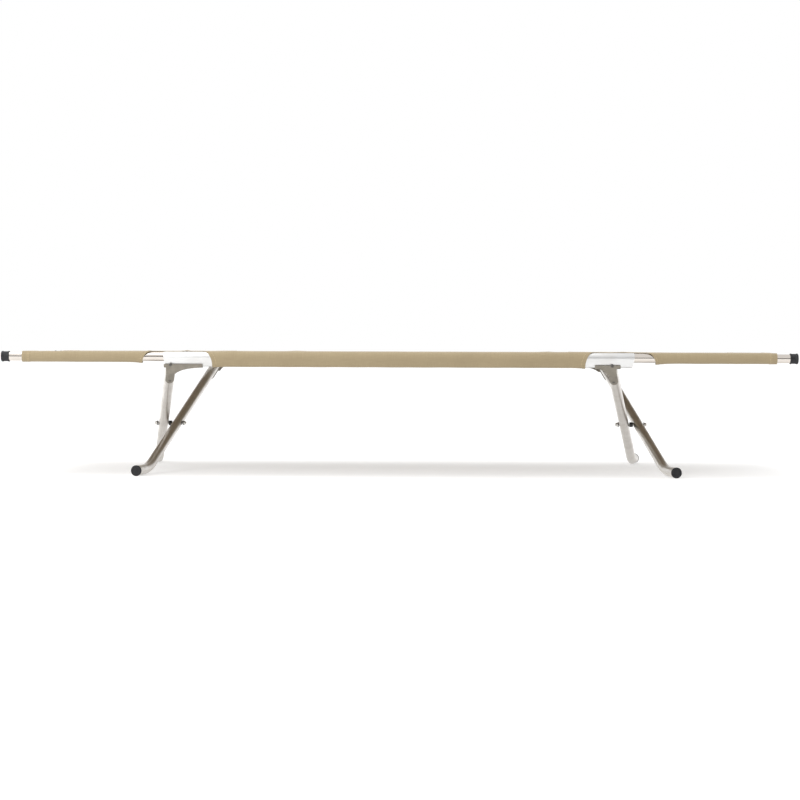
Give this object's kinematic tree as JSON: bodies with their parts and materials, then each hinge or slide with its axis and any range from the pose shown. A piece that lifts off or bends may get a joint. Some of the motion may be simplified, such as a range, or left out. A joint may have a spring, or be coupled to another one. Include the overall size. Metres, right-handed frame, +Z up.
{
  "type": "folding cot",
  "caption": "Low folding camp cot: tan canvas bed sleeved over aluminium side rails, on bent tube legs that cross and pivot like scissors.",
  "frame": {"origin": "on the floor under the middle of the bed", "axes": "+X along the bed, +Y from the near rail to the far rail, +Z up"},
  "size_m": [1.981, 0.7086, 0.3137],
  "materials": {
    "rail_extrusion": "bright anodised extrusion with fine lengthwise lines",
    "bright_tube": "bright drawn tube",
    "leg_tube": "satin drawn tube",
    "bracket_casting": "matt warm grey casting",
    "black_rubber": "matt moulded rubber",
    "black_nylon": "satin nylon",
    "fastener_steel": "zinc plated",
    "canvas": "tan plain-woven canvas"
  },
  "bodies": {
    "near_frame": {"near_middle_rail": "rail_extrusion", "near_middle_sleeve": "canvas", "near_left_end_sleeve": "canvas", "near_left_leg": "leg_tube", "near_left_foot_cap": "black_rubber", "near_left_leg_bracket": "bracket_casting", "near_left_leg_rivet_1": "fastener_steel", "near_left_leg_rivet_2": "fastener_steel", "near_left_rail_screw": "fastener_steel", "near_right_end_sleeve": "canvas", "near_right_leg": "leg_tube", "near_right_foot_cap": "black_rubber", "near_right_leg_bracket": "bracket_casting", "near_right_leg_rivet_1": "fastener_steel", "near_right_leg_rivet_2": "fastener_steel", "near_right_rail_screw": "fastener_steel", "left_pivot_bolt": "fastener_steel", "left_pivot_nut": "fastener_steel", "left_pivot_outer_washer": "black_nylon", "left_pivot_inner_washer": "black_nylon", "left_pivot_spacer": "black_nylon", "right_pivot_bolt": "fastener_steel", "right_pivot_nut": "fastener_steel", "right_pivot_outer_washer": "black_nylon", "right_pivot_inner_washer": "black_nylon", "right_pivot_spacer": "black_nylon", "bed_panel": "canvas"},
    "far_frame": {"far_middle_rail": "rail_extrusion", "far_middle_sleeve": "canvas", "far_left_end_sleeve": "canvas", "far_left_leg": "leg_tube", "far_left_foot_cap": "black_rubber", "far_left_leg_bracket": "bracket_casting", "far_left_leg_rivet_1": "fastener_steel", "far_left_leg_rivet_2": "fastener_steel", "far_left_rail_screw": "fastener_steel", "far_right_end_sleeve": "canvas", "far_right_leg": "leg_tube", "far_right_foot_cap": "black_rubber", "far_right_leg_bracket": "bracket_casting", "far_right_leg_rivet_1": "fastener_steel", "far_right_leg_rivet_2": "fastener_steel", "far_right_rail_screw": "fastener_steel"},
    "near_left_end_pole": {"near_left_end_rail": "bright_tube", "near_left_rail_cap": "black_rubber"},
    "near_right_end_pole": {"near_right_end_rail": "bright_tube", "near_right_rail_cap": "black_rubber"},
    "far_left_end_pole": {"far_left_end_rail": "bright_tube", "far_left_rail_cap": "black_rubber"},
    "far_right_end_pole": {"far_right_end_rail": "bright_tube", "far_right_rail_cap": "black_rubber"}
  },
  "joints": [
    {"name": "fold", "type": "hinge", "parent": "near_frame", "child": "far_frame", "pos_m": [0, 0, 0.121], "axis": [1, 0, 0], "range_deg": [0, 117], "deforming": ["bed_panel"]},
    {"name": "near_left_pole_pull", "type": "slide", "parent": "near_frame", "child": "near_left_end_pole", "axis": [-1, 0, 0], "range_m": [0, 0.09]},
    {"name": "near_right_pole_pull", "type": "slide", "parent": "near_frame", "child": "near_right_end_pole", "axis": [1, 0, 0], "range_m": [0, 0.09]},
    {"name": "far_left_pole_pull", "type": "slide", "parent": "far_frame", "child": "far_left_end_pole", "axis": [-1, 0, 0], "range_m": [0, 0.09]},
    {"name": "far_right_pole_pull", "type": "slide", "parent": "far_frame", "child": "far_right_end_pole", "axis": [1, 0, 0], "range_m": [0, 0.09]}
  ]
}
